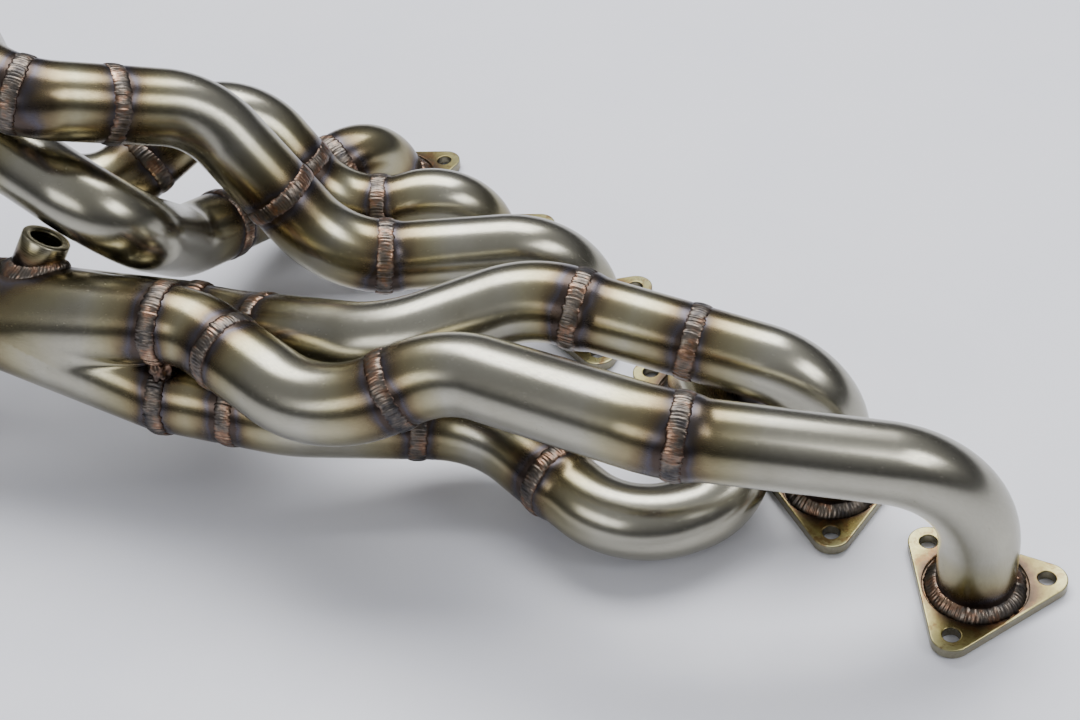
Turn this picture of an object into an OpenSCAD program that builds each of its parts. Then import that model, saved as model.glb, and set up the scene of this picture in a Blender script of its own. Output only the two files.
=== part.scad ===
// Pair of stepped three-into-one racing headers for a straight six.
// Lengths in millimetres, +Z up. Head faces of the port flanges lie on z = 0,
// port 1 is at the origin and the ports run along +X.

/* [Ports] */
// Distance from one port to the next
port_pitch = 100; // [90:1:110]
// Thickness of a port flange
flange_thick = 6; // [5:0.5:12]
// Bolt circle of the three stud holes
stud_pcd = 72; // [66:1:80]
// Stud hole for M8
stud_hole = 9; // [8.4:0.1:10]
// Corner radius of a flange round each stud hole
corner_r = 10.5; // [9:0.5:13]
// Diameter of the shallow round recess for the weld
recess_d = 53; // [50:1:56]
// Depth of the weld recess
recess_deep = 1.5; // [1:0.5:3]
// Lip below the tube end
lip = 3; // [2:0.5:4]

/* [Tubes] */
// Outside diameter of the legs, before the step
leg_od = 40; // [38:0.5:45]
// Outside diameter after the step
main_od = 43; // [40:0.5:48]
// Tube wall
wall = 1.5; // [1:0.1:2]
// Length of the expanded end of a leg
collar = 12; // [8:1:20]

/* [Welds] */
// Width of a butt weld bead
bead_w = 9; // [6:0.5:12]
// Height of a butt weld bead
bead_h = 1.2; // [0.8:0.1:2]

/* [Collectors] */
// Distance between tube centres at the collector inlet
tube_space = 46; // [45.5:0.5:48]
// Length of a collector
collector_len = 105; // [100:5:140]
// Sheet thickness of a collector
sheet = 2.3; // [1.5:0.1:3]
// Outside diameter of the outlet pipe
outlet_od = 60.3; // [54:0.1:76]
// Wall of the outlet pipe
outlet_wall = 2; // [1.5:0.1:3]
// Rim diameter of the outlet clamp flange
rim_d = 80; // [76:1:90]
// Length of the outlet clamp flange
rim_len = 12; // [10:1:20]

/* [Sensor bung] */
// Outside diameter of the bung
bung_od = 27; // [24:1:30]
// Bore for the M18 thread
bung_bore = 16.5; // [16:0.1:17]
// Distance from the collector axis to the mouth of the bung
bung_top = 52; // [48:1:54]
// Where the bung's axis crosses the collector's, from the inlet
bung_at = 95; // [90:1:97]
// Lean of the bung back towards the inlet, degrees
bung_tilt = 20; // [15:1:25]

/* [Hidden] */
$fn = 96;

// Direction of one stud hole of each flange, degrees
clock = [-128, -106, -106, -92, -106, -106];

// Collector inlets: centre, turn about Z, climb, roll of the three tubes
inlet_a = [375, 230, 80];
turn_a = [35, 5, 10];
inlet_b = [600, 245, 190];
turn_b = [15, 10, 40];

// Routes: corners of the centreline, straight length into the collector, bend radii
a1_way = [[0, 0, 0], [0, 0, 85], [95, 115, 125], [220, 155, 115], [255, 210, 90]];
a1_in = 20;
a1_rad = [65, 60, 65, 70, 50];
a2_way = [[100, 0, 0], [100, 0, 80], [235, 85, 110], [275, 155, 95]];
a2_in = 25;
a2_rad = [45, 65, 75, 60];
a3_way = [[200, 0, 0], [200, 0, 80], [115, 45, 20], [135, 115, 25], [245, 120, 35]];
a3_in = 75;
a3_rad = [40, 40, 45, 60, 65];
b1_way = [[300, 0, 0], [300, 0, 60], [380, 115, 70], [440, 150, 165], [465, 255, 215]];
b1_in = 35;
b1_rad = [50, 65, 55, 35, 60];
b2_way = [[400, 0, 0], [400, 0, 50], [450, 70, 35], [475, 85, 80], [505, 100, 125], [505, 230, 85]];
b2_in = 35;
b2_rad = [35, 55, 60, 45, 40, 55];
b3_way = [[500, 0, 0], [500, 0, 40], [500, 90, 35], [470, 170, 65], [410, 225, 140]];
b3_in = 20;
b3_rad = [35, 55, 50, 35, 60];

// Where each primary is cut and welded, measured along its centreline
a1_cut = [220, 382, 490];
a2_cut = [142, 205, 392];
a3_cut = [96, 240, 330, 430];
b1_cut = [157, 230, 345, 395];
b2_cut = [92, 150, 265, 362];
b3_cut = [65, 165, 390];

// Lap of a straight into a bend, and how much thinner a bend is
lap = 0.5;
hair = 0.1;
// Shortest piece of a straight worth drawing, and the same for a bend in degrees
least = 0.01;
least_turn = 0.05;

// Fillet bead in a flange's recess: radius and the square that keeps its upper quarter
fillet_r = 4.6;
fillet_box = 6;
// Heights of the beads at a collector's inlet and on the outlet pipe
inlet_bead_h = 2;
outlet_bead_h = 1.5;
// How far the core of a bend runs past each side of a bead
core_past = 8;

// Spike between the three tubes at a collector's inlet
spike_len = 15;
spike_r = 5.2;
spike_tip_r = 0.4;
// Share of its length by which a collector lobe runs on, before it is cut to length
lobe_past = 0.2;
// Block that cuts a collector to length
block = 200;
// Bung: turn from the top, inner end before it is trimmed, and reach of its bore
bung_turn = 25;
bung_foot = 20;
bung_reach = 80;

// Outlets: straight on, down, level, and the two bend radii
run_a = [45, 110, 60];
run_b = [75, 100, 85];
out_rad = [90, 90];
// Clamp flange: lip at the pipe, foot and peak of the cone, width of the rim, chamfer
lip_w = 3.5;
cone_foot = [4.5, 4];
rim_at = 7;
rim_w = 3;
face_in = 4;

steel = [0.72, 0.70, 0.64];
gold = [0.70, 0.66, 0.45];
bead_c = [0.55, 0.42, 0.36];

// ---------- vectors and frames ----------
function unit(v) = v / norm(v);
function ax_dir(t) = [cos(t[1]) * cos(t[0]), cos(t[1]) * sin(t[0]), sin(t[1])];
function ax_side(t) = [-sin(t[0]), cos(t[0]), 0];
function ax_up(t) = cross(ax_dir(t), ax_side(t));
function ax_y(t) = cos(t[2]) * ax_up(t) - sin(t[2]) * ax_side(t);
function ax_x(t) = sin(t[2]) * ax_up(t) + cos(t[2]) * ax_side(t);
function frame(x, y, z, p) = [
  [x[0], y[0], z[0], p[0]],
  [x[1], y[1], z[1], p[1]],
  [x[2], y[2], z[2], p[2]],
  [0, 0, 0, 1]
];
function some_x(d) = unit(cross(abs(d[2]) > 0.9 ? [1, 0, 0] : [0, 0, 1], d));
function along(d, p) = let(x = some_x(d)) frame(x, cross(d, x), d, p);

// Tube centres at an inlet, in the collector's own frame (1 top, 2 far, 3 near)
tri_h = tube_space / 2;
tri_g = tube_space / sqrt(3);
spots = [[tri_g / 2, tri_h, 0], [-tri_g, 0, 0], [tri_g / 2, -tri_h, 0]];
function in_row(c, t, q) = c + ax_x(t) * q[0] + ax_y(t) * q[1] + ax_dir(t) * q[2];

// ---------- routes ----------
// Full list of corners of a primary: its own, then the straight into the collector
function corners(way, straight, c, t, k) =
  let(e = in_row(c, t, spots[k - 1]))
  concat(way, [e - straight * ax_dir(t), e]);
function legs(v) = [for (i = [0:len(v) - 2]) unit(v[i + 1] - v[i])];
function sharp(v, i) = let(d = legs(v)) acos(min(1, d[i - 1] * d[i]));
function cutback(v, r, i) = (i == 0 || i == len(v) - 1) ? 0 : r[i - 1] * tan(sharp(v, i) / 2);
function straight_len(v, r, i) = norm(v[i + 1] - v[i]) - cutback(v, r, i) - cutback(v, r, i + 1);
function arc_len(v, r, i) = r[i - 1] * sharp(v, i) * PI / 180;
function total(a, n) = n <= 0 ? 0 : a[n - 1] + total(a, n - 1);
function straight_at(v, r, i) =
  total([for (j = [0:len(v) - 2]) straight_len(v, r, j)], i)
  + (i == 0 ? 0 : total([for (j = [1:len(v) - 2]) arc_len(v, r, j)], i));
function way_len(v, r) = straight_at(v, r, len(v) - 2) + straight_len(v, r, len(v) - 2);
// Normal of the bend at corner i, towards its centre
function bend_n(v, i) = let(d = legs(v), c = d[i - 1] * d[i]) unit(d[i] - c * d[i - 1]);
// Point and direction at a distance along the route
function spot(v, r, s) =
  let(hit = [for (i = [0:len(v) - 2])
    let(a = straight_at(v, r, i), b = a + straight_len(v, r, i))
    if (s >= a - least && s <= b + least) i])
  len(hit) > 0
  ? let(i = hit[0], d = legs(v)[i])
    [v[i] + d * (cutback(v, r, i) + s - straight_at(v, r, i)), d]
  : let(at = [for (i = [1:len(v) - 2])
      let(b = straight_at(v, r, i)) if (s > b - arc_len(v, r, i) && s < b) i][0],
      d = legs(v)[at - 1], n = bend_n(v, at), q = r[at - 1],
      f = (s - straight_at(v, r, at) + arc_len(v, r, at)) / q * 180 / PI)
    [v[at] - d * cutback(v, r, at) + n * (q - q * cos(f)) + d * q * sin(f),
     d * cos(f) + n * sin(f)];

module ring_2d(od, id) {
  difference() {
    circle(d = od);
    if (id > 0) circle(d = id);
  }
}
// Tube along a route from distance a to distance b
module pipe(v, r, a, b, od, id) {
  // A straight laps into its bends; a bend is a hair thinner, so the two fuse cleanly
  for (i = [0:len(v) - 2]) {
    s = straight_at(v, r, i);
    e = s + straight_len(v, r, i);
    lo = a < s - least ? s - lap : a;
    hi = b > e + least ? e + lap : b;
    d = legs(v)[i];
    if (min(b, e) > max(a, s) + least)
      multmatrix(along(d, v[i] + d * (cutback(v, r, i) + lo - s)))
        linear_extrude(hi - lo) ring_2d(od, id);
  }
  for (i = [1:len(v) - 2]) {
    s = straight_at(v, r, i) - arc_len(v, r, i);
    q = r[i - 1];
    lo = (max(a, s) - s) / q * 180 / PI;
    hi = (min(b, s + arc_len(v, r, i)) - s) / q * 180 / PI;
    d = legs(v)[i - 1];
    n = bend_n(v, i);
    if (hi > lo + least_turn)
      multmatrix(frame(-n, d, cross(-n, d), v[i] - d * cutback(v, r, i) + n * q))
        rotate([0, 0, lo])
          rotate_extrude(angle = hi - lo) translate([q, 0])
            ring_2d(od - hair, id > 0 ? id + hair : 0);
  }
}
module main_tube(v, r, a, b) { color(steel) pipe(v, r, a, b, main_od, main_od - 2 * wall); }
// Leg piece; a piece that ends at the step has an expanded end
module leg_tube(v, r, a, b, stepped) {
  color(steel) {
    pipe(v, r, a, b - (stepped ? 0.5 : 0), leg_od, leg_od - 2 * wall);
    if (stepped) pipe(v, r, b - collar, b, main_od, leg_od - 1);
  }
}

// ---------- welds ----------
// Section of a bead: a low arc standing on the tube, with a root below the surface
module bead_2d(w, h, root) {
  c = (w * w / 4 + h * h) / (2 * h);
  intersection() {
    translate([h - c, 0]) circle(c);
    translate([-root, -w]) square([h + root + 1, 2 * w]);
  }
}
module bead_ring(r0, w, h, root) {
  rotate_extrude() translate([r0, 0]) bead_2d(w, h, root);
}
// Half a bead, on one side of a joint; side is 1 after the joint and -1 before it
module half_bead(r0, w, h, side) {
  rotate_extrude() translate([r0, 0]) intersection() {
    bead_2d(w, h, 0);
    translate([-1, side > 0 ? 0 : -w]) square([h + 2, w]);
  }
}
// The bend that holds a distance along the route, or 0 on a straight
function bend_at(v, r, s) =
  let(hit = [for (i = [1:len(v) - 2])
    let(e = straight_at(v, r, i)) if (s > e - arc_len(v, r, i) && s < e) i])
  len(hit) > 0 ? hit[0] : 0;
module butt_weld(v, r, s, od) {
  q = spot(v, r, s);
  i = bend_at(v, r, s);
  if (i == 0) multmatrix(along(q[1], q[0])) bead_ring(od / 2, bead_w, bead_h, 0);
  else difference() {
    multmatrix(along(q[1], q[0])) bead_ring(od / 2, bead_w, bead_h, 1);
    bend_core(v, r, i, s - core_past, s + core_past, od);
  }
}
// Solid round bar along bend i, carried on past the ends of the bend
module bend_core(v, r, i, a, b, od) {
  start = straight_at(v, r, i) - arc_len(v, r, i);
  q = r[i - 1];
  d = legs(v)[i - 1];
  n = bend_n(v, i);
  multmatrix(frame(-n, d, cross(-n, d), v[i] - d * cutback(v, r, i) + n * q))
    rotate([0, 0, (a - start) / q * 180 / PI])
      rotate_extrude(angle = (b - a) / q * 180 / PI) translate([q, 0]) circle(d = od);
}
// Fillet weld in the flange recess
module flange_weld(x) {
  translate([x, 0, flange_thick - recess_deep]) rotate_extrude()
    intersection() {
      translate([leg_od / 2, 0]) circle(fillet_r);
      translate([leg_od / 2, 0]) square(fillet_box);
    }
}
module primary_welds(v, r, cuts, ods) {
  color(bead_c) {
    flange_weld(v[0][0]);
    for (i = [0:len(cuts) - 1]) butt_weld(v, r, cuts[i], ods[i]);
  }
}

// ---------- flanges ----------
module flange_2d() {
  p = stud_pcd / 2;
  // The straight sides sit a hair inside the corner rounds, so they meet at a clean angle
  q = corner_r - hair;
  for (k = [0:2]) translate([p * cos(120 * k), p * sin(120 * k)]) circle(corner_r);
  polygon([for (k = [0:2]) for (s = [-60, 60])
    [p * cos(120 * k) + q * cos(120 * k + s), p * sin(120 * k) + q * sin(120 * k + s)]]);
}
module port_flange(i) {
  color(gold) translate([(i - 1) * port_pitch, 0, 0]) rotate([0, 0, clock[i - 1]]) difference() {
    linear_extrude(flange_thick) flange_2d();
    translate([0, 0, -1]) cylinder(d = leg_od - 2 * wall, h = flange_thick + 2);
    translate([0, 0, lip]) cylinder(d = leg_od, h = flange_thick);
    translate([0, 0, flange_thick - recess_deep]) cylinder(d = recess_d, h = 5);
    for (k = [0:2]) rotate([0, 0, 120 * k])
      translate([stud_pcd / 2, 0, -1]) cylinder(d = stud_hole, h = flange_thick + 2);
  }
}

// ---------- collectors ----------
module lobe(k, r0, r1) {
  c = spots[k];
  to = [0, 0, collector_len] - c;
  d = unit(to);
  n = norm(to);
  more = (r1 - r0) * lobe_past;
  multmatrix(along(d, c - d * n * lobe_past))
    cylinder(h = n * (1 + 2 * lobe_past), r1 = r0 - more, r2 = r1 + more);
}
module lobes(grow) {
  intersection() {
    union() for (k = [0:2])
      lobe(k, main_od / 2 - wall + grow, outlet_od / 2 - outlet_wall * (1 - grow / sheet));
    translate([-block / 2, -block / 2, 0]) cube([block, block, collector_len]);
  }
}
module spike_local() { cylinder(h = spike_len, r1 = spike_r, r2 = spike_tip_r); }
// Axis of the bung in the collector frame: near the top, leaning back towards the inlet
module bung_place(t) {
  rotate([0, 0, bung_turn - t[2]]) translate([0, 0, bung_at])
    rotate([-90 - bung_tilt, 0, 0]) children();
}
module collector_at(c, t) { multmatrix(frame(ax_x(t), ax_y(t), ax_dir(t), c)) children(); }
module collector(c, t) {
  color(steel) collector_at(c, t) difference() {
    lobes(sheet);
    lobes(0);
    spike_local();
    bung_place(t) cylinder(d = bung_bore, h = bung_reach);
  }
}
module spike(c, t) { color(steel) collector_at(c, t) spike_local(); }
module bung(c, t) {
  color(steel) collector_at(c, t) difference() {
    bung_place(t) translate([0, 0, bung_foot]) cylinder(d = bung_od, h = bung_top - bung_foot);
    bung_place(t) cylinder(d = bung_bore, h = bung_reach);
    lobes(sheet);
  }
}

// ---------- outlets ----------
function out_start(c, t) = c + ax_dir(t) * collector_len;
// Straight on out of the collector, down to flange height and level to the clamp flange
function outlet_way(c, t, run) =
  let(s = out_start(c, t), f = ax_dir([t[0], 0, 0]), p = s + ax_dir(t) * run[0],
    q = [p[0], p[1], rim_d / 2] + f * run[1])
  [s, p, q, q + f * run[2]];
module outlet_pipe(v) {
  color(steel) pipe(v, out_rad, 0, way_len(v, out_rad), outlet_od, outlet_od - 2 * outlet_wall);
}
module outlet_flange(v) {
  d = legs(v)[2];
  r = outlet_od / 2 - outlet_wall;
  color(gold) multmatrix(along(d, v[3])) rotate_extrude()
    polygon([[r, 0], [r + lip_w, 0], [r + cone_foot[0], cone_foot[1]],
             [rim_d / 2, rim_at], [rim_d / 2, rim_at + rim_w],
             [rim_d / 2 - face_in, rim_len], [r, rim_len]]);
}
module collector_welds(c, t, out) {
  color(bead_c) {
    collector_at(c, t) for (k = [0:2])
      translate(spots[k]) half_bead(main_od / 2, bead_w, inlet_bead_h, -1);
    multmatrix(along(ax_dir(t), out[0])) half_bead(outlet_od / 2, bead_w, outlet_bead_h, 1);
    multmatrix(along(legs(out)[2], out[3])) half_bead(outlet_od / 2, bead_w, outlet_bead_h, -1);
  }
}

// ---------- routes with their ends ----------
a1_v = corners(a1_way, a1_in, inlet_a, turn_a, 1);
a2_v = corners(a2_way, a2_in, inlet_a, turn_a, 2);
a3_v = corners(a3_way, a3_in, inlet_a, turn_a, 3);
b1_v = corners(b1_way, b1_in, inlet_b, turn_b, 1);
b2_v = corners(b2_way, b2_in, inlet_b, turn_b, 2);
b3_v = corners(b3_way, b3_in, inlet_b, turn_b, 3);
out_a = outlet_way(inlet_a, turn_a, run_a);
out_b = outlet_way(inlet_b, turn_b, run_b);

module flange_1() { port_flange(1); }
module flange_2() { port_flange(2); }
module flange_3() { port_flange(3); }
module flange_4() { port_flange(4); }
module flange_5() { port_flange(5); }
module flange_6() { port_flange(6); }
module a1_leg() { leg_tube(a1_v, a1_rad, lip, a1_cut[0], true); }
module a1_mid() { main_tube(a1_v, a1_rad, a1_cut[0], a1_cut[1]); }
module a1_bend() { main_tube(a1_v, a1_rad, a1_cut[1], a1_cut[2]); }
module a1_stub() { main_tube(a1_v, a1_rad, a1_cut[2], way_len(a1_v, a1_rad)); }
module a2_leg() { leg_tube(a2_v, a2_rad, lip, a2_cut[0], false); }
module a2_link() { leg_tube(a2_v, a2_rad, a2_cut[0], a2_cut[1], true); }
module a2_bend() { main_tube(a2_v, a2_rad, a2_cut[1], a2_cut[2]); }
module a2_stub() { main_tube(a2_v, a2_rad, a2_cut[2], way_len(a2_v, a2_rad)); }
module a3_leg() { leg_tube(a3_v, a3_rad, lip, a3_cut[0], false); }
module a3_ubend() { leg_tube(a3_v, a3_rad, a3_cut[0], a3_cut[1], true); }
module a3_bend() { main_tube(a3_v, a3_rad, a3_cut[1], a3_cut[2]); }
module a3_run() { main_tube(a3_v, a3_rad, a3_cut[2], a3_cut[3]); }
module a3_stub() { main_tube(a3_v, a3_rad, a3_cut[3], way_len(a3_v, a3_rad)); }
module b1_leg() { leg_tube(b1_v, b1_rad, lip, b1_cut[0], true); }
module b1_mid() { main_tube(b1_v, b1_rad, b1_cut[0], b1_cut[1]); }
module b1_bend() { main_tube(b1_v, b1_rad, b1_cut[1], b1_cut[2]); }
module b1_run() { main_tube(b1_v, b1_rad, b1_cut[2], b1_cut[3]); }
module b1_stub() { main_tube(b1_v, b1_rad, b1_cut[3], way_len(b1_v, b1_rad)); }
module b2_leg() { leg_tube(b2_v, b2_rad, lip, b2_cut[0], true); }
module b2_mid() { main_tube(b2_v, b2_rad, b2_cut[0], b2_cut[1]); }
module b2_bend() { main_tube(b2_v, b2_rad, b2_cut[1], b2_cut[2]); }
module b2_run() { main_tube(b2_v, b2_rad, b2_cut[2], b2_cut[3]); }
module b2_stub() { main_tube(b2_v, b2_rad, b2_cut[3], way_len(b2_v, b2_rad)); }
module b3_leg() { leg_tube(b3_v, b3_rad, lip, b3_cut[0], false); }
module b3_link() { leg_tube(b3_v, b3_rad, b3_cut[0], b3_cut[1], true); }
module b3_run() { main_tube(b3_v, b3_rad, b3_cut[1], b3_cut[2]); }
module b3_stub() { main_tube(b3_v, b3_rad, b3_cut[2], way_len(b3_v, b3_rad)); }
module welds_a1() { primary_welds(a1_v, a1_rad, a1_cut, [main_od, main_od, main_od]); }
module welds_a2() { primary_welds(a2_v, a2_rad, a2_cut, [leg_od, main_od, main_od]); }
module welds_a3() { primary_welds(a3_v, a3_rad, a3_cut, [leg_od, main_od, main_od, main_od]); }
module welds_b1() { primary_welds(b1_v, b1_rad, b1_cut, [main_od, main_od, main_od, main_od]); }
module welds_b2() { primary_welds(b2_v, b2_rad, b2_cut, [main_od, main_od, main_od, main_od]); }
module welds_b3() { primary_welds(b3_v, b3_rad, b3_cut, [leg_od, main_od, main_od]); }
module collector_a() { collector(inlet_a, turn_a); }
module collector_b() { collector(inlet_b, turn_b); }
module spike_a() { spike(inlet_a, turn_a); }
module spike_b() { spike(inlet_b, turn_b); }
module bung_a() { bung(inlet_a, turn_a); }
module bung_b() { bung(inlet_b, turn_b); }
module welds_collector_a() { collector_welds(inlet_a, turn_a, out_a); }
module welds_collector_b() { collector_welds(inlet_b, turn_b, out_b); }
module outlet_pipe_a() { outlet_pipe(out_a); }
module outlet_pipe_b() { outlet_pipe(out_b); }
module outlet_flange_a() { outlet_flange(out_a); }
module outlet_flange_b() { outlet_flange(out_b); }

flange_1();
flange_2();
flange_3();
flange_4();
flange_5();
flange_6();
a1_leg();
a1_mid();
a1_bend();
a1_stub();
a2_leg();
a2_link();
a2_bend();
a2_stub();
a3_leg();
a3_ubend();
a3_bend();
a3_run();
a3_stub();
b1_leg();
b1_mid();
b1_bend();
b1_run();
b1_stub();
b2_leg();
b2_mid();
b2_bend();
b2_run();
b2_stub();
b3_leg();
b3_link();
b3_run();
b3_stub();
welds_a1();
welds_a2();
welds_a3();
welds_b1();
welds_b2();
welds_b3();
collector_a();
collector_b();
spike_a();
spike_b();
bung_a();
bung_b();
welds_collector_a();
welds_collector_b();
outlet_pipe_a();
outlet_pipe_b();
outlet_flange_a();
outlet_flange_b();
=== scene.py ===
"""Looks of a pair of stepped, welded racing headers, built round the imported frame.

Lengths in this script are millimetres until a mesh is made; MM turns them to metres.
"""
import math

import bmesh
import bpy
import numpy as np
from mathutils import Matrix, Vector, noise
from mathutils.bvhtree import BVHTree


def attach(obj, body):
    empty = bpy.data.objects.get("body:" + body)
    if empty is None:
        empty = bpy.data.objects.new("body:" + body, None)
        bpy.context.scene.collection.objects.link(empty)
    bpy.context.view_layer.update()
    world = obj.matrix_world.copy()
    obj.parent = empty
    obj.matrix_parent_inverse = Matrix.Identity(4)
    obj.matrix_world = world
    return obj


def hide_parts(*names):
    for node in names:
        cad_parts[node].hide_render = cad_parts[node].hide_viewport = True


MM = 0.001

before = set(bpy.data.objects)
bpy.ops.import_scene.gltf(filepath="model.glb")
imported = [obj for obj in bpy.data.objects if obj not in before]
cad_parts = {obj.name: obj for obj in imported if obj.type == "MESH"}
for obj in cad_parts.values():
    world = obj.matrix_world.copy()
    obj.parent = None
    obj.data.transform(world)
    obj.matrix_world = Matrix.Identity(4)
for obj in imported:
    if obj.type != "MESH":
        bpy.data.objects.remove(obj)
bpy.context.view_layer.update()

# ---------------------------------------------------------------- sizes

LEG_OD = 40.0
MAIN_OD = 43.0
WALL = 1.5
COLLAR = 12.0           # swaged collar of the larger tube over the smaller
SWAGE_LEN = 8.0         # length over which a tube grows to the larger size
LIP = 3.0               # height above the port face at which the leg starts
FLANGE_THICK = 6.0
RECESS_D = 53.0
RECESS_DEEP = 1.5
STUD_PCD = 72.0
STUD_HOLE = 9.0
CORNER_R = 10.5
PORT_PITCH = 100.0
STUD_CLOCK = (-128, -106, -106, -92, -106, -106)
EAR_ARC = 120           # degrees of rounding at each stud
EAR_STEPS = 24
PLATE_EDGE = 0.7
SEAT_EDGE = 0.15
FLANGE_TINT_R = 24.0    # the plate's heat tint starts here

TUBE_SPACE = 46.0
COLLECTOR_LEN = 105.0
SHEET = 2.3
OUTLET_OD = 60.3
OUTLET_WALL = 2.0
RIM_D = 80.0
RIM_LEN = 12.0
RIM_NECK = ((3.5, 0), (4.5, 4))     # wall of the neck at two heights
RIM_LAND = (7, 10)                  # heights between which the rim is at full size
RIM_TAPER = 4
RIM_EDGE = 0.8
BLEND_END = 0.5         # how softly the three tubes merge, at the ends and in the middle
BLEND_MIDDLE = 26.0

BUNG_OD = 27.0
BUNG_BORE = 16.5
BUNG_TOP = 52.0
BUNG_AT = 95.0
BUNG_TURN = 25.0
BUNG_TILT = 20.0
BUNG_FOOT = 26.0
BUNG_EDGE = ((0.0, 0.8), (0.3, 0.25), (0.9, 0.0))   # top edge: how far inwards and down
BUNG_MOUTH = 1.5
BUNG_HOLE_GAP = 3       # the shell's opening under the bung is wider than the bore by this
BUNG_TINT_R = 16.0
BUNG_TINT_LEVEL = 37.0
THREAD_PITCH = 1.5
THREAD_DEEP = 0.85
THREAD_FROM = 1.6       # first crest under the top
THREAD_END = 30

BEAD_WIDE = 10.0
BEAD_HIGH = 1.3
BEAD_SINK = 0.1         # a bead's middle lies this far inside the skin
INLET_BEAD_WIDE = 11.0
INLET_BEAD_HIGH = 1.9
INLET_BEAD_BEFORE = 1.0
OUTLET_BEAD_HIGH = 1.4
OUTLET_BEAD_IN = 0.5    # from the start of the outlet pipe
RIM_BEAD_IN = 2.0       # from its end
RIM_BEAD_WIDE = 7.0
FILLET_HIGH = 2.0
FILLET_TILT = 45
FLANGE_FILLET = 2.2     # distance of its middle from the tube and from the plate
FLANGE_FILLET_WIDE = 10.0
BUNG_FILLET = 1.5
BUNG_FILLET_WIDE = 8.0
RIPPLE_PITCH = 1.8
RIPPLE_POINTS = 5
WELD_DRAW = 0.35        # how far the tube draws in under a weld, and over what length
WELD_DRAW_LEN = 5.0

TUBE_STEP = 1.5         # length of one ring of faces along a tube
TUBE_SIDES = 72
LATHE_SIDES = 96
RIM_SIDES = 128
SHELL_ROWS = 64
SHELL_COLUMNS = 144

# Collectors: inlet centre, turn about Z, climb, roll; then the outlet's runs on, down and level
COLLECTORS = {
    "a": {"at": (375, 230, 80), "turn": (35, 5, 10), "outlet": (45, 110, 60)},
    "b": {"at": (600, 245, 190), "turn": (15, 10, 40), "outlet": (75, 100, 85)},
}
OUTLET_BENDS = (90, 90)

# Primaries: corners of the centreline, straight run into the collector, bend radii,
# where it is cut and welded along its length, which joint has the step up in diameter
PRIMARIES = {
    "a1": {
        "pieces": ("leg", "mid", "bend", "stub"),
        "way": [(0, 0, 0), (0, 0, 85), (95, 115, 125), (220, 155, 115), (255, 210, 90)],
        "straight": 20, "rad": (65, 60, 65, 70, 50), "cuts": (220, 382, 490), "step": 1, "spot": 0,
    },
    "a2": {
        "pieces": ("leg", "link", "bend", "stub"),
        "way": [(100, 0, 0), (100, 0, 80), (235, 85, 110), (275, 155, 95)],
        "straight": 25, "rad": (45, 65, 75, 60), "cuts": (142, 205, 392), "step": 2, "spot": 1,
    },
    "a3": {
        "pieces": ("leg", "ubend", "bend", "run", "stub"),
        "way": [(200, 0, 0), (200, 0, 80), (115, 45, 20), (135, 115, 25), (245, 120, 35)],
        "straight": 75, "rad": (40, 40, 45, 60, 65), "cuts": (96, 240, 330, 430), "step": 2, "spot": 2,
    },
    "b1": {
        "pieces": ("leg", "mid", "bend", "run", "stub"),
        "way": [(300, 0, 0), (300, 0, 60), (380, 115, 70), (440, 150, 165), (465, 255, 215)],
        "straight": 35, "rad": (50, 65, 55, 35, 60), "cuts": (157, 230, 345, 395), "step": 1, "spot": 0,
    },
    "b2": {
        "pieces": ("leg", "mid", "bend", "run", "stub"),
        "way": [(400, 0, 0), (400, 0, 50), (450, 70, 35), (475, 85, 80), (505, 100, 125), (505, 230, 85)],
        "straight": 35, "rad": (35, 55, 60, 45, 40, 55), "cuts": (92, 150, 265, 362), "step": 1, "spot": 1,
    },
    "b3": {
        "pieces": ("leg", "link", "run", "stub"),
        "way": [(500, 0, 0), (500, 0, 40), (500, 90, 35), (470, 170, 65), (410, 225, 140)],
        "straight": 20, "rad": (35, 55, 50, 35, 60), "cuts": (65, 165, 390), "step": 2, "spot": 2,
    },
}


# ---------------------------------------------------------------- frames and routes

def unit(v):
    v = np.asarray(v, float)
    return v / np.linalg.norm(v)


def collector_axes(turn):
    """X, Y and flow axes of a collector from its turn, climb and roll in degrees."""
    a, c, r = (math.radians(t) for t in turn)
    flow = np.array([math.cos(c) * math.cos(a), math.cos(c) * math.sin(a), math.sin(c)])
    side = np.array([-math.sin(a), math.cos(a), 0.0])
    up = np.cross(flow, side)
    return math.sin(r) * up + math.cos(r) * side, math.cos(r) * up - math.sin(r) * side, flow


def axes_matrix(x, y, z, origin):
    """Matrix whose columns are three axes and an origin."""
    m = Matrix.Identity(4)
    for column, axis in enumerate((x, y, z, origin)):
        for row in range(3):
            m[row][column] = axis[row]
    return m


def placed(x, y, z, origin):
    """Matrix that puts a mesh in millimetres at an origin with the given axes."""
    return axes_matrix(*([part * MM for part in vector] for vector in (x, y, z, origin)))


def along(direction, origin):
    """The same, for a piece of revolution whose axis is the direction."""
    d = unit(direction)
    x = unit(np.cross((1, 0, 0) if abs(d[2]) > 0.9 else (0, 0, 1), d))
    return placed(x, np.cross(d, x), d, origin)


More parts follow.
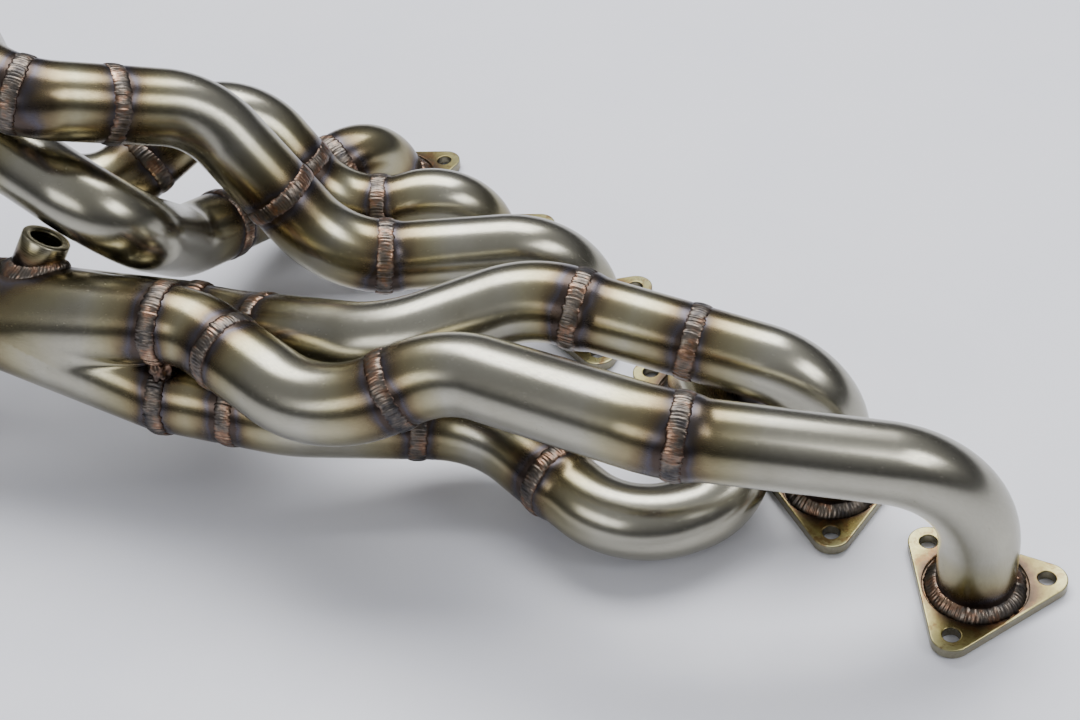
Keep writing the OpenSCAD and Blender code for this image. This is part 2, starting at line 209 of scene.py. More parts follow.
class Route:
    """Centreline of straights and circular bends, followed by distance from its start."""

    def __init__(self, corners, radii):
        v = [np.asarray(c, float) for c in corners]
        legs = [unit(b - a) for a, b in zip(v, v[1:])]
        sharp = [math.acos(min(1.0, float(a @ b))) for a, b in zip(legs, legs[1:])]
        cut = [0.0] + [r * math.tan(t / 2) for r, t in zip(radii, sharp)] + [0.0]
        self.parts = []
        s = 0.0
        for i, leg in enumerate(legs):
            start = v[i] + leg * cut[i]
            length = float(np.linalg.norm(v[i + 1] - v[i])) - cut[i] - cut[i + 1]
            self.parts.append((s, s + length, start, leg, None, 0.0))
            s += length
            if i < len(sharp):
                inward = unit(legs[i + 1] - float(leg @ legs[i + 1]) * leg)
                bend = radii[i] * sharp[i]
                self.parts.append((s, s + bend, v[i + 1] - leg * cut[i + 1], leg, inward, radii[i]))
                s += bend
        self.length = s

    def at(self, s):
        """Point and direction at a distance from the start."""
        for begin, end, start, leg, inward, radius in self.parts:
            if s <= end + 1e-6:
                break
        t = s - begin
        if inward is None:
            return start + leg * t, leg
        f = t / radius
        point = start + inward * radius * (1 - math.cos(f)) + leg * radius * math.sin(f)
        return point, leg * math.cos(f) + inward * math.sin(f)


def inlet_spots():
    g = TUBE_SPACE / math.sqrt(3)
    return ((g / 2, TUBE_SPACE / 2), (-g, 0.0), (g / 2, -TUBE_SPACE / 2))


def primary_route(name):
    p = PRIMARIES[name]
    c = COLLECTORS[name[0]]
    x, y, flow = collector_axes(c["turn"])
    sx, sy = inlet_spots()[p["spot"]]
    end = np.array(c["at"], float) + x * sx + y * sy
    return Route(list(p["way"]) + [end - p["straight"] * flow, end], p["rad"])


def outlet_route(name):
    c = COLLECTORS[name]
    on, down, level = c["outlet"]
    flow = collector_axes(c["turn"])[2]
    ahead = np.array([math.cos(math.radians(c["turn"][0])), math.sin(math.radians(c["turn"][0])), 0.0])
    start = np.array(c["at"], float) + flow * COLLECTOR_LEN
    bend = start + flow * on
    low = np.array([bend[0], bend[1], RIM_D / 2]) + ahead * down
    return Route([start, bend, low, low + ahead * level], OUTLET_BENDS)


ROUTES = {name: primary_route(name) for name in PRIMARIES}
OUTLETS = {name: outlet_route(name) for name in COLLECTORS}


# ---------------------------------------------------------------- nodes

def srgb(code):
    """Linear RGBA of an sRGB hex colour."""
    value = [int(code[i:i + 2], 16) / 255 for i in (1, 3, 5)]
    linear = [c / 12.92 if c <= 0.04045 else ((c + 0.055) / 1.055) ** 2.4 for c in value]
    return (*linear, 1.0)


def add(tree, kind, inputs=None, out=0, stops=(), **settings):
    """Adds one node with its settings, inputs and colour stops, and returns one of its outputs."""
    n = tree.nodes.new(kind)
    for key, value in settings.items():
        setattr(n, key, value)
    for key, value in (inputs or {}).items():
        if isinstance(value, bpy.types.NodeSocket):
            tree.links.new(value, n.inputs[key])
        else:
            n.inputs[key].default_value = value
    for i, (position, code) in enumerate(stops):
        band = n.color_ramp.elements
        stop = band[i] if i < 2 else band.new(position)
        stop.position = position
        stop.color = srgb(code)
    return n.outputs[out] if len(n.outputs) else n


def new_geometry_tree(name, sockets):
    """Geometry tree with a Geometry input and output and the given named inputs."""
    tree = bpy.data.node_groups.new(name, "GeometryNodeTree")
    tree.interface.new_socket("Geometry", in_out="INPUT", socket_type="NodeSocketGeometry")
    for label, kind in sockets:
        tree.interface.new_socket(label, in_out="INPUT", socket_type=kind)
    tree.interface.new_socket("Geometry", in_out="OUTPUT", socket_type="NodeSocketGeometry")
    return tree, tree.nodes.new("NodeGroupInput").outputs, tree.nodes.new("NodeGroupOutput")


def finish_geometry_tree(tree, shape, finish, out):
    """Smooth, real faces with the finish on them, as the end of every tree here."""
    smooth = add(tree, "GeometryNodeSetShadeSmooth", {"Geometry": shape})
    real = add(tree, "GeometryNodeRealizeInstances", {"Geometry": smooth})
    done = add(tree, "GeometryNodeSetMaterial", {"Geometry": real, "Material": finish})
    tree.links.new(done, out.inputs[0])


def tube_sweep_tree():
    """Sweeps a round skin along a centreline; each point carries the tube's outer radius."""
    tree, given, out = new_geometry_tree("tube_sweep", [
        ("Sides", "NodeSocketInt"), ("Finish", "NodeSocketMaterial")])
    line = add(tree, "GeometryNodeMeshToCurve", {"Mesh": given["Geometry"]})
    radius = add(tree, "GeometryNodeInputNamedAttribute", {"Name": "outer"}, "Attribute", data_type="FLOAT")
    sized = add(tree, "GeometryNodeSetCurveRadius", {"Curve": line, "Radius": radius})
    ring = add(tree, "GeometryNodeCurvePrimitiveCircle",
               {"Resolution": given["Sides"], "Radius": 1.0}, "Curve", mode="RADIUS")
    place = add(tree, "GeometryNodeInputPosition")
    skin = add(tree, "GeometryNodeStoreNamedAttribute", {"Geometry": ring, "Name": "skin", "Value": place},
               data_type="FLOAT_VECTOR", domain="POINT")
    swept = add(tree, "GeometryNodeCurveToMesh", {"Curve": sized, "Profile Curve": skin})
    if "Scale" in swept.node.inputs:
        tree.links.new(radius, swept.node.inputs["Scale"])
    finish_geometry_tree(tree, swept, given["Finish"], out)
    return tree


def bead_tree():
    """A closed ring of overlapping ripples, as a filler rod leaves them."""
    tree, given, out = new_geometry_tree("weld_bead", [
        ("Radius", "NodeSocketFloat"), ("Width", "NodeSocketFloat"), ("Height", "NodeSocketFloat"),
        ("Tilt", "NodeSocketFloat"), ("Ripples", "NodeSocketInt"), ("Seed", "NodeSocketFloat"),
        ("Around", "NodeSocketInt"), ("Finish", "NodeSocketMaterial")])
    full = 2 * math.pi
    grid = add(tree, "GeometryNodeMeshGrid", {
        "Size X": full, "Size Y": full, "Vertices X": given["Around"], "Vertices Y": 17})
    place = add(tree, "GeometryNodeInputPosition")
    part = {
        "radius": given["Radius"], "width": given["Width"], "height": given["Height"],
        "tilt": given["Tilt"], "ripples": given["Ripples"],
        "u": add(tree, "ShaderNodeSeparateXYZ", {0: place}, 0),
        "v": add(tree, "ShaderNodeSeparateXYZ", {0: place}, 1),
    }

    def work_out(steps):
        for name, operation, *terms in steps:
            values = {i: part.get(t, t) for i, t in enumerate(terms)}
            part[name] = add(tree, "ShaderNodeMath", values, operation=operation)

    work_out((
        ("cos_u", "COSINE", "u"), ("sin_u", "SINE", "u"),
        ("across", "COSINE", "v"), ("rise", "SINE", "v"),
    ))
    # How the hand wandered: a slow drift and a quicker swelling, round the ring
    seat = add(tree, "ShaderNodeCombineXYZ", {0: part["cos_u"], 1: part["sin_u"], 2: given["Seed"]})
    part["slow"] = add(tree, "ShaderNodeTexNoise", {"Vector": seat, "Scale": 2.2, "Detail": 2.0})
    part["quick"] = add(tree, "ShaderNodeTexNoise", {"Vector": seat, "Scale": 9.0, "Detail": 2.0})
    work_out((
        ("off", "SUBTRACT", "slow", 0.5), ("drift", "MULTIPLY", "off", 2.6),
        ("swell", "MULTIPLY_ADD", "quick", 1.1, 0.45),
        # Ripples: rounded humps with sharp valleys, bowed like coins pushed over
        ("bow", "MULTIPLY", "across", "across"), ("bowed", "MULTIPLY", "bow", 2.4),
        ("turns", "MULTIPLY", "u", "ripples"), ("half_turns", "MULTIPLY", "turns", 0.5),
        ("swayed", "MULTIPLY_ADD", "drift", 3.0, "half_turns"), ("phase", "ADD", "swayed", "bowed"),
        ("wave", "SINE", "phase"), ("hump", "ABSOLUTE", "wave"),
        ("lift", "MULTIPLY_ADD", "hump", 0.24, 0.76), ("crown", "MAXIMUM", "rise", -0.3),
        ("tall", "MULTIPLY", "height", "swell"), ("lifted", "MULTIPLY", "crown", "lift"),
        ("high", "MULTIPLY", "lifted", "tall"),
        ("share", "MULTIPLY_ADD", "quick", 0.34, 0.33), ("half", "MULTIPLY", "width", "share"),
        ("wide", "MULTIPLY_ADD", "half", "across", "drift"),
        # The section leans by the tilt, so that a fillet faces outwards and upwards
        ("cos_t", "COSINE", "tilt"), ("sin_t", "SINE", "tilt"),
        ("high_out", "MULTIPLY", "high", "cos_t"), ("wide_out", "MULTIPLY", "wide", "sin_t"),
        ("outward", "ADD", "high_out", "wide_out"), ("r", "ADD", "radius", "outward"),
        ("high_up", "MULTIPLY", "high", "sin_t"), ("wide_up", "MULTIPLY", "wide", "cos_t"),
        ("z", "SUBTRACT", "high_up", "wide_up"),
        ("x", "MULTIPLY", "r", "cos_u"), ("y", "MULTIPLY", "r", "sin_u"),
    ))
    spot = add(tree, "ShaderNodeCombineXYZ", {0: part["x"], 1: part["y"], 2: part["z"]})
    # What the finish needs to know: how far across the bead, and how deep in a valley, for the painted
    # valley shade
    mesh = grid
    for name in ("across", "hump"):
        mesh = add(tree, "GeometryNodeStoreNamedAttribute",
                   {"Geometry": mesh, "Name": name, "Value": part[name]}, data_type="FLOAT", domain="POINT")
    moved = add(tree, "GeometryNodeSetPosition", {"Geometry": mesh, "Position": spot})
    closed = add(tree, "GeometryNodeMergeByDistance", {"Geometry": moved, "Distance": 0.002})
    finish_geometry_tree(tree, closed, given["Finish"], out)
    return tree


def grown(seed_mesh, tree, values):
    """Runs a geometry tree on a mesh and returns the plain mesh that it makes."""
    holder = bpy.data.objects.new("holder", seed_mesh)
    bpy.context.scene.collection.objects.link(holder)
    modifier = holder.modifiers.new("tree", "NODES")
    modifier.node_group = tree
    for item in tree.interface.items_tree:
        if item.item_type == "SOCKET" and item.in_out == "INPUT" and item.name in values:
            modifier[item.identifier] = values[item.name]
    graph = bpy.context.evaluated_depsgraph_get()
    mesh = bpy.data.meshes.new_from_object(holder.evaluated_get(graph))
    bpy.data.objects.remove(holder)
    mesh.materials.clear()
    mesh.materials.append(values["Finish"])
    mesh.polygons.foreach_set("material_index", [0] * len(mesh.polygons))
    return mesh


# ---------------------------------------------------------------- materials

def per_metre(grain):
    """Scale of a noise on metre coordinates whose patches are so many millimetres across."""
    return 1000.0 / grain


def new_material(name, metallic=1.0):
    """Empty material: its tree, its shader and the object coordinates."""
    material = bpy.data.materials.new(name)
    material.use_nodes = True
    tree = material.node_tree
    tree.nodes.clear()
    surface = add(tree, "ShaderNodeBsdfPrincipled", {"Metallic": metallic})
    add(tree, "ShaderNodeOutputMaterial", {"Surface": surface})
    place = add(tree, "ShaderNodeTexCoord", out="Object")
    return material, tree, surface.node.inputs, place


# Oxide colours of stainless steel by distance from the edge of a weld, over TINT_REACH millimetres;
# TINT_SWAY takes off the mean of the noise that makes the bands uneven
TINT_REACH = 34.0
TINT_SWAY = 14.0
TINT = (
    (0.00, "#4d433e"), (0.05, "#545056"), (0.10, "#5b534d"), (0.17, "#70634d"), (0.32, "#908567"),
    (0.58, "#a19b80"), (0.85, "#a9a593"), (1.00, "#adaa9c"),
)


def tinted_steel():
    """304 stainless tube, satin from polishing, with oxide colours beside each weld."""
    material, tree, shader, place = new_material("satin_stainless_heat_tint")
    # Polishing runs along the tube: noise round the skin, drawn out along the run
    around = add(tree, "ShaderNodeAttribute", out="Vector", attribute_name="skin")
    run = add(tree, "ShaderNodeAttribute", out="Fac", attribute_name="run")
    drawn = add(tree, "ShaderNodeMath", {0: run, 1: 0.012}, operation="MULTIPLY")
    grain = add(tree, "ShaderNodeCombineXYZ", {
        0: add(tree, "ShaderNodeSeparateXYZ", {0: around}, 0),
        1: add(tree, "ShaderNodeSeparateXYZ", {0: around}, 1), 2: drawn})
    streaks = add(tree, "ShaderNodeTexNoise", {"Vector": grain, "Scale": 26.0, "Detail": 6.0,
                                               "Roughness": 0.7})
    cloud = add(tree, "ShaderNodeTexNoise", {"Vector": place, "Scale": per_metre(45), "Detail": 3.0})
    patch = add(tree, "ShaderNodeTexNoise", {"Vector": place, "Scale": per_metre(14), "Detail": 4.0,
                                             "Roughness": 0.6})
    # Tint bands, uneven as a hand-held torch leaves them
    gap = add(tree, "ShaderNodeAttribute", out="Fac", attribute_name="weld_gap")
    uneven = add(tree, "ShaderNodeMath", {0: gap, 1: BEAD_WIDE / 2 + TINT_SWAY}, operation="SUBTRACT")
    for pattern, sway in ((cloud, 22.0), (patch, 6.0)):
        uneven = add(tree, "ShaderNodeMath", {0: pattern, 1: sway, 2: uneven}, operation="MULTIPLY_ADD")
    part = add(tree, "ShaderNodeMath", {0: uneven, 1: TINT_REACH}, operation="DIVIDE")
    tint = add(tree, "ShaderNodeValToRGB", {"Fac": part}, "Color", stops=TINT)
    faint = add(tree, "ShaderNodeMapRange", {0: streaks, 1: 0.3, 2: 0.7, 3: 0.0, 4: 0.14})
    shade = add(tree, "ShaderNodeMix", {"Factor": faint, 6: tint, 7: srgb("#8f8c7c")}, 2,
                data_type="RGBA", blend_type="MULTIPLY")
    smudge = add(tree, "ShaderNodeMapRange", {0: cloud, 1: 0.45, 2: 0.75, 3: 0.0, 4: 0.4})
    color = add(tree, "ShaderNodeMix", {"Factor": smudge, 6: shade, 7: srgb("#aca588")}, 2,
                data_type="RGBA", blend_type="MULTIPLY")
    tree.links.new(color, shader["Base Color"])
    # Scale beside a weld is dull, polished tube is not
    satin = add(tree, "ShaderNodeMapRange", {0: streaks, 1: 0.25, 2: 0.75, 3: 0.20, 4: 0.29})
    dull = add(tree, "ShaderNodeMapRange", {0: gap, 1: 0.0, 2: 14.0, 3: 0.10, 4: 0.0})
    tree.links.new(add(tree, "ShaderNodeMath", {0: satin, 1: dull}, operation="ADD"), shader["Roughness"])
    bump = add(tree, "ShaderNodeBump", {"Height": streaks, "Strength": 0.03, "Distance": 0.0003})
    tree.links.new(bump, shader["Normal"])
    return material


def bead_steel():
    """TIG weld metal: grey and copper crowns, dark toes, and painted shade in the ripple valleys."""
    material, tree, shader, place = new_material("tig_weld_bead")
    patch = add(tree, "ShaderNodeTexNoise", {"Vector": place, "Scale": per_metre(15), "Detail": 4.0,
                                             "Roughness": 0.65})
    scale = add(tree, "ShaderNodeTexNoise", {"Vector": place, "Scale": per_metre(1.1), "Detail": 3.0,
                                             "Roughness": 0.6})
    hump = add(tree, "ShaderNodeAttribute", out="Fac", attribute_name="hump")
    across = add(tree, "ShaderNodeAttribute", out="Fac", attribute_name="across")
    level = add(tree, "ShaderNodeMapRange", {0: patch, 1: 0.3, 2: 0.7, 3: 0.0, 4: 1.0})
    crown = add(tree, "ShaderNodeValToRGB", {"Fac": level}, "Color", stops=(
        (0.0, "#3a3a3f"), (0.28, "#56524f"), (0.52, "#736a61"), (0.74, "#8a6c59"), (1.0, "#b39a83")))
    # Painted shade: the colour darkens towards the bottom of each ripple valley
    valley_shade_amount = add(tree, "ShaderNodeMapRange", {0: hump, 1: 0.0, 2: 0.4, 3: 0.6, 4: 0.0})
    valley = add(tree, "ShaderNodeMix", {"Factor": valley_shade_amount, 6: crown, 7: srgb("#46342c")}, 2, data_type="RGBA")
    side = add(tree, "ShaderNodeMath", {0: across}, operation="ABSOLUTE")
    edge = add(tree, "ShaderNodeMapRange", {0: side, 1: 0.70, 2: 0.95, 3: 0.0, 4: 0.85})
    toe = add(tree, "ShaderNodeMix", {"Factor": edge, 6: valley, 7: srgb("#4b3930")}, 2, data_type="RGBA")
    tree.links.new(toe, shader["Base Color"])
    tree.links.new(add(tree, "ShaderNodeMapRange", {0: patch, 1: 0.3, 2: 0.7, 3: 0.42, 4: 0.26}),
                   shader["Roughness"])
    bump = add(tree, "ShaderNodeBump", {"Height": scale, "Strength": 0.3, "Distance": 0.0002})
    tree.links.new(bump, shader["Normal"])
    return material


def plate_steel():
    """Laser-cut stainless plate gone olive-gold from the heat, with rusty stains, and grey cut edges that
    are also painted darker than the top as side shade.
    """
    material, tree, shader, place = new_material("cut_plate_gold_oxide")
    cloud = add(tree, "ShaderNodeTexNoise", {"Vector": place, "Scale": per_metre(22), "Detail": 4.0,
                                             "Roughness": 0.6})
    stain = add(tree, "ShaderNodeTexNoise", {"Vector": place, "Scale": per_metre(9), "Detail": 5.0,
                                             "Roughness": 0.65, "Distortion": 0.6})
    fine = add(tree, "ShaderNodeTexNoise", {"Vector": place, "Scale": per_metre(1.6), "Detail": 4.0,
                                            "Roughness": 0.65})
    gap = add(tree, "ShaderNodeAttribute", out="Fac", attribute_name="weld_gap")
    near = add(tree, "ShaderNodeMath", {0: gap, 1: 7.0}, operation="SUBTRACT")
    uneven = add(tree, "ShaderNodeMath", {0: cloud, 1: 14.0, 2: near}, operation="MULTIPLY_ADD")
    part = add(tree, "ShaderNodeMath", {0: uneven, 1: 26.0}, operation="DIVIDE")
    tint = add(tree, "ShaderNodeValToRGB", {"Fac": part}, "Color", stops=(
        (0.0, "#3b3733"), (0.18, "#5d4d3f"), (0.33, "#7c704d"), (0.55, "#999062"), (0.8, "#a8a277"),
        (1.0, "#b0ac88")))
    rust = add(tree, "ShaderNodeMapRange", {0: stain, 1: 0.51, 2: 0.62, 3: 0.0, 4: 0.75})
    stained = add(tree, "ShaderNodeMix", {"Factor": rust, 6: tint, 7: srgb("#74573c")}, 2, data_type="RGBA")
    # Upright faces turn grey: partly the real colour of a cut edge, partly painted shade that keeps the
    # sides darker than the top
    upright = add(tree, "ShaderNodeSeparateXYZ", {0: add(tree, "ShaderNodeNewGeometry", out="Normal")}, 2)
    cut = add(tree, "ShaderNodeMapRange", {
        0: add(tree, "ShaderNodeMath", {0: upright}, operation="ABSOLUTE"), 1: 0.2, 2: 0.8, 3: 0.8, 4: 0.0})
    cut_edges_and_side_shade = add(tree, "ShaderNodeMix", {"Factor": cut, 6: stained, 7: srgb("#8d897b")}, 2, data_type="RGBA")
    worn = add(tree, "ShaderNodeMapRange", {0: fine, 1: 0.35, 2: 0.75, 3: 0.0, 4: 0.3})
    color = add(tree, "ShaderNodeMix", {"Factor": worn, 6: cut_edges_and_side_shade, 7: srgb("#8f8a6c")}, 2,
                data_type="RGBA", blend_type="MULTIPLY")
    tree.links.new(color, shader["Base Color"])
    tree.links.new(add(tree, "ShaderNodeMapRange", {0: cloud, 1: 0.3, 2: 0.7, 3: 0.38, 4: 0.24}),
                   shader["Roughness"])
    bump = add(tree, "ShaderNodeBump", {"Height": fine, "Strength": 0.15, "Distance": 0.0002})
    tree.links.new(bump, shader["Normal"])
    return material


def turned_steel():
    """Machined stainless: bright, with tool rings that are coarser than real ones, so that they show."""
    material, tree, shader, place = new_material("turned_stainless")
    cloud = add(tree, "ShaderNodeTexNoise", {"Vector": place, "Scale": per_metre(17), "Detail": 3.0})
    gap = add(tree, "ShaderNodeAttribute", out="Fac", attribute_name="weld_gap")
    near = add(tree, "ShaderNodeMath", {0: gap, 1: 4.0}, operation="SUBTRACT")
    uneven = add(tree, "ShaderNodeMath", {0: cloud, 1: 8.0, 2: near}, operation="MULTIPLY_ADD")
    part = add(tree, "ShaderNodeMath", {0: uneven, 1: 20.0}, operation="DIVIDE")
    tint = add(tree, "ShaderNodeValToRGB", {"Fac": part}, "Color", stops=(
        (0.0, "#3c3430"), (0.2, "#6e5a42"), (0.5, "#9d9470"), (1.0, "#b5b2a6")))
    run = add(tree, "ShaderNodeAttribute", out="Fac", attribute_name="run")
    rings = add(tree, "ShaderNodeTexNoise", {
        "Vector": add(tree, "ShaderNodeCombineXYZ", {2: run}), "Scale": 4.0, "Detail": 2.0})
    tree.links.new(tint, shader["Base Color"])
    tree.links.new(add(tree, "ShaderNodeMapRange", {0: rings, 1: 0.3, 2: 0.7, 3: 0.2, 4: 0.34}),
                   shader["Roughness"])
    bump = add(tree, "ShaderNodeBump", {"Height": rings, "Strength": 0.2, "Distance": 0.0002})
    tree.links.new(bump, shader["Normal"])
    return material


def laminate_top():
    """White laminate bench top, a little blue, with a soft sheen and faint smears."""
    material, tree, shader, place = new_material("white_laminate", 0.0)
    smear = add(tree, "ShaderNodeTexNoise", {"Vector": place, "Scale": per_metre(140), "Detail": 5.0,
                                             "Roughness": 0.6})
    amount = add(tree, "ShaderNodeMapRange", {0: smear, 1: 0.3, 2: 0.7, 3: 0.0, 4: 1.0})
    color = add(tree, "ShaderNodeMix", {"Factor": amount, 6: srgb("#e9eaf2"), 7: srgb("#e2e4ee")}, 2,
                data_type="RGBA")
    tree.links.new(color, shader["Base Color"])
    tree.links.new(add(tree, "ShaderNodeMapRange", {0: smear, 1: 0.3, 2: 0.7, 3: 0.34, 4: 0.46}),
                   shader["Roughness"])
    return material


STEEL = tinted_steel()
BEAD = bead_steel()
PLATE = plate_steel()
TURNED = turned_steel()
TABLE_TOP = laminate_top()
SWEEP = tube_sweep_tree()
RIPPLES = bead_tree()


# ---------------------------------------------------------------- mesh helpers

def show(name, mesh, slot, *nodes):
    """Makes a piece of a mesh already in place; it stands for the named CAD nodes."""
    piece = bpy.data.objects.new(name, mesh)
    bpy.context.scene.collection.objects.link(piece)
    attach(piece, "root")
    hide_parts(*nodes)
    return piece


def give(mesh, name, values):
    """Stores one number per vertex."""
    layer = mesh.attributes.get(name) or mesh.attributes.new(name, "FLOAT", "POINT")
    layer.data.foreach_set("value", np.asarray(values, np.float32))


def give_vector(mesh, name, values):
    """Stores one vector per vertex."""
    layer = mesh.attributes.get(name) or mesh.attributes.new(name, "FLOAT_VECTOR", "POINT")
    layer.data.foreach_set("vector", np.asarray(values, np.float32).ravel())


def points_of(mesh):
    """Places of the vertices, one row each."""
    flat = np.empty(3 * len(mesh.vertices), np.float32)
    mesh.vertices.foreach_get("co", flat)
    return flat.reshape(-1, 3).astype(float)


def facing_out(mesh):
    """Turns the faces of a closed mesh outwards."""
    bm = bmesh.new()
    bm.from_mesh(mesh)
    bmesh.ops.recalc_face_normals(bm, faces=bm.faces)
    bm.to_mesh(mesh)
    bm.free()


def grid_faces(rows, columns, closed):
    """Faces of a grid that goes round its columns, and round its rows too if it is closed."""
    faces = []
    for i in range(rows if closed else rows - 1):
        n = (i + 1) % rows
        for j in range(columns):
            k = (j + 1) % columns
            faces.append((i * columns + j, i * columns + k, n * columns + k, n * columns + j))
    return faces


def lathe(name, outline, sides=LATHE_SIDES):
    """Closed outline of (radius, height) spun about Z, in millimetres."""
    turns = [2 * math.pi * j / sides for j in range(sides)]
    verts = [(r * math.cos(t), r * math.sin(t), z) for r, z in outline for t in turns]
    mesh = bpy.data.meshes.new(name)
    mesh.from_pydata(verts, [], grid_faces(len(outline), sides, True))
    facing_out(mesh)
    return mesh


def rounded(outline, radius, steps=4):
    """Outline with each corner cut back and rounded."""
    points = []
    count = len(outline)
    for i in range(count):
        p, a, b = (np.array(outline[k % count], float) for k in (i, i - 1, i + 1))
        to_a, to_b = a - p, b - p
        cut = min(radius, 0.45 * np.linalg.norm(to_a), 0.45 * np.linalg.norm(to_b))
        start, end = p + unit(to_a) * cut, p + unit(to_b) * cut
        for k in range(steps + 1):
            t = k / steps
            points.append(tuple((1 - t) ** 2 * start + 2 * t * (1 - t) * p + t ** 2 * end))
    return points


def with_wall(piece, thickness):
    """Gives an open outer skin its wall, inwards."""
    wall = piece.modifiers.new("wall", "SOLIDIFY")
    wall.thickness = thickness * MM
    wall.offset = -1.0
    wall.use_rim = True
    graph = bpy.context.evaluated_depsgraph_get()
    mesh = bpy.data.meshes.new_from_object(piece.evaluated_get(graph))
    piece.modifiers.clear()
    piece.data = mesh


def joined(name, meshes):
    """One mesh of several, keeping their stored numbers."""
    bm = bmesh.new()
    for mesh in meshes:
        bm.from_mesh(mesh)
    whole = bpy.data.meshes.new(name)
    bm.to_mesh(whole)
    bm.free()
    whole.materials.append(meshes[0].materials[0])
    return whole


# ---------------------------------------------------------------- tubes

def smooth_step(t):
    t = min(1.0, max(0.0, t))
    return t * t * (3 - 2 * t)


def swept_tube(name, route, start, end, radius_at, welds, wall, slot):
    """Tube piece from one distance to another along a route."""
    count = max(8, int((end - start) / TUBE_STEP))
    stations = np.linspace(start, end, count + 1)
    mesh = bpy.data.meshes.new("centreline")
    mesh.from_pydata([tuple(route.at(s)[0] * MM) for s in stations], [(i, i + 1) for i in range(count)], [])
    give(mesh, "outer", [radius_at(s) * MM for s in stations])
    give(mesh, "run", stations)
    give(mesh, "weld_gap", [min(abs(s - w) for w in welds) for s in stations])
    skin = grown(mesh, SWEEP, {"Sides": TUBE_SIDES, "Finish": STEEL})
    with_wall(show(name + "_tube", skin, slot, name), wall)


def primary_radius(name, s):
    """Outer radius of a primary: swaged up over the collar before its step, drawn in at welds."""
    p = PRIMARIES[name]
    step_at = p["cuts"][p["step"] - 1]
    grow = smooth_step((s - (step_at - COLLAR - 1)) / SWAGE_LEN)
    radius = (LEG_OD + (MAIN_OD - LEG_OD) * grow) / 2
    draw = sum(math.exp(-((s - c) / WELD_DRAW_LEN) ** 2) for c in p["cuts"])
    return radius - WELD_DRAW * draw


def make_primary(name):
    p = PRIMARIES[name]
    route = ROUTES[name]
    welds = [FLANGE_THICK, *p["cuts"], route.length]
    ends = [LIP, *p["cuts"], route.length]
    for part, start, end in zip(p["pieces"], ends, ends[1:]):
        swept_tube(f"{name}_{part}", route, start, end,
                   lambda s: primary_radius(name, s), welds, WALL, "tube_steel")


def make_outlet(name):
    route = OUTLETS[name]
    swept_tube(f"outlet_pipe_{name}", route, 0.0, route.length,
               lambda s: OUTLET_OD / 2, [0.0, route.length], OUTLET_WALL, "collector_steel")
    point, direction = route.at(route.length)
    bore, rim = OUTLET_OD / 2 - OUTLET_WALL, RIM_D / 2
    outline = rounded([
        (bore, 0), *((bore + wall, z) for wall, z in RIM_NECK), *((rim, z) for z in RIM_LAND),
        (rim - RIM_TAPER, RIM_LEN), (bore, RIM_LEN)], RIM_EDGE)
    mesh = lathe("clamp_flange", outline, RIM_SIDES)
    finish_turned(mesh, points_of(mesh)[:, 2])
    mesh.transform(along(direction, point))
    show(f"outlet_flange_{name}_rim", mesh, "turned_steel", f"outlet_flange_{name}")


def finish_turned(mesh, gap):
    """Stores what the turned finish reads, and gives it."""
    give(mesh, "run", np.linalg.norm(points_of(mesh)[:, :2], axis=1) + points_of(mesh)[:, 2])
    give(mesh, "weld_gap", gap)
    mesh.materials.append(TURNED)
    mesh.shade_smooth()


# ---------------------------------------------------------------- welds

def ripple_ring(radius, width, height, tilt, seed):
    """Mesh of one bead round Z, in millimetres."""
    ripples = 2 * int(math.pi * radius / RIPPLE_PITCH)
    return grown(bpy.data.meshes.new("seed"), RIPPLES, {
        "Radius": float(radius), "Width": float(width), "Height": float(height), "Tilt": math.radians(tilt),
        "Ripples": ripples, "Seed": float(seed), "Around": RIPPLE_POINTS * ripples + 1,
        "Finish": BEAD})


# Lump of filler: its half sizes, how far it lies before the inlet, and how knobbly it is
LUMP_ACROSS = 8.0
LUMP_ALONG = 7.0
LUMP_BEFORE = 3.0
LUMP_KNOBS = 2.6
LUMP_UNEVEN = 0.28
LUMP_SHADE_HUMP = 0.15        # what the bead finish reads, so that the whole lump takes some painted valley shade and looks darker all over
LUMP_EDGE = 0.8
LUMP_OUT = 0.8          # share of the sum of two inlets' places at which it lies


def filler_lump(x, y, seed):
    """A burnt, knobbly lump of filler rod that closes the valley between two tubes at an inlet."""
    bm = bmesh.new()
    bmesh.ops.create_icosphere(bm, subdivisions=4, radius=1.0)
    for v in bm.verts:
        knob = noise.noise(v.co * LUMP_KNOBS + Vector((seed, 0, 0)))
        v.co = v.co * (1 + LUMP_UNEVEN * knob)
        v.co = Vector((x + LUMP_ACROSS * v.co.x, y + LUMP_ACROSS * v.co.y,
                       LUMP_ALONG * v.co.z - LUMP_BEFORE))
    mesh = bpy.data.meshes.new("filler_lump")
    bm.to_mesh(mesh)
    bm.free()
    mesh.materials.append(BEAD)
    mesh.shade_smooth()
    give(mesh, "hump", [LUMP_SHADE_HUMP] * len(mesh.vertices))
    give(mesh, "across", [LUMP_EDGE] * len(mesh.vertices))
    return mesh


def make_primary_welds(name, seed):
    """Beads at the cuts of a primary, and the fillet in its flange."""
    p = PRIMARIES[name]
    route = ROUTES[name]
    beads = []
    for i, cut in enumerate(p["cuts"]):
        radius = primary_radius(name, cut) - BEAD_SINK
        bead = ripple_ring(radius, BEAD_WIDE, BEAD_HIGH, 0, seed + i)
        point, direction = route.at(cut)
        bead.transform(along(direction, point))
        beads.append(bead)
    fillet = ripple_ring(LEG_OD / 2 + FLANGE_FILLET, FLANGE_FILLET_WIDE, FILLET_HIGH, FILLET_TILT, seed + 9)
    fillet.transform(Matrix.Translation((0, 0, FLANGE_THICK - RECESS_DEEP + FLANGE_FILLET)))
    fillet.transform(along((0, 0, 1), p["way"][0]))
    beads.append(fillet)
    whole = joined(f"{name}_beads", beads)
    facing_out(whole)
    show(f"{name}_beads", whole, "weld_bead", f"welds_{name}")


# ---------------------------------------------------------------- flanges

